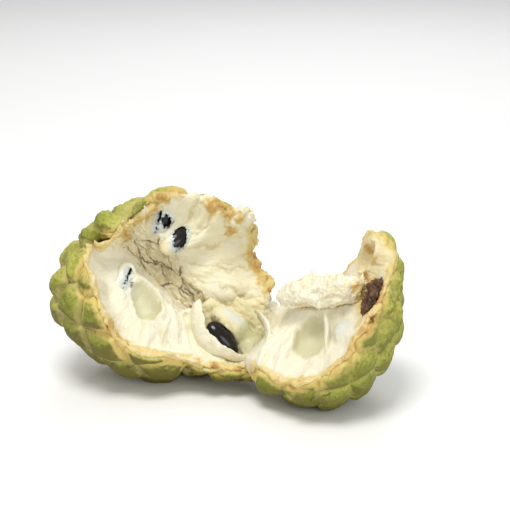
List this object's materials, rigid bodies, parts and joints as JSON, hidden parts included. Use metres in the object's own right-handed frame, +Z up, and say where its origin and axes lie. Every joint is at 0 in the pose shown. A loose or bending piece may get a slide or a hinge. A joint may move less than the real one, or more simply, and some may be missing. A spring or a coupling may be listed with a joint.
{
  "type": "custard apple",
  "caption": "Ripe custard apple torn open by hand: scaly green rind round pale, soft, segmented flesh with glossy dark seeds, lying on its rind.",
  "frame": {"origin": "on the ground under the middle of the whole fruit's box", "axes": "+Z up, +X to the right, from the wide bowl to the wedge with the stalk scar, and -Y towards the side that the torn flesh faces"},
  "size_m": [0.137, 0.0944, 0.0717],
  "materials": {
    "rind": "dull waxy fruit skin, olive green with tan scale edges",
    "flesh": "moist cream fruit flesh",
    "core": "dry crumbly cream pith",
    "scar": "rough dark woody fibre",
    "seed": "smooth glossy blackish-brown seed coat"
  },
  "bodies": {
    "root": {"rind": "rind", "flesh": "flesh", "core": "core", "stalk_scar": "scar", "seed_far_upper": "seed", "seed_far_lower": "seed", "seed_near": "seed", "seed_bare": "seed"}
  },
  "joints": []
}
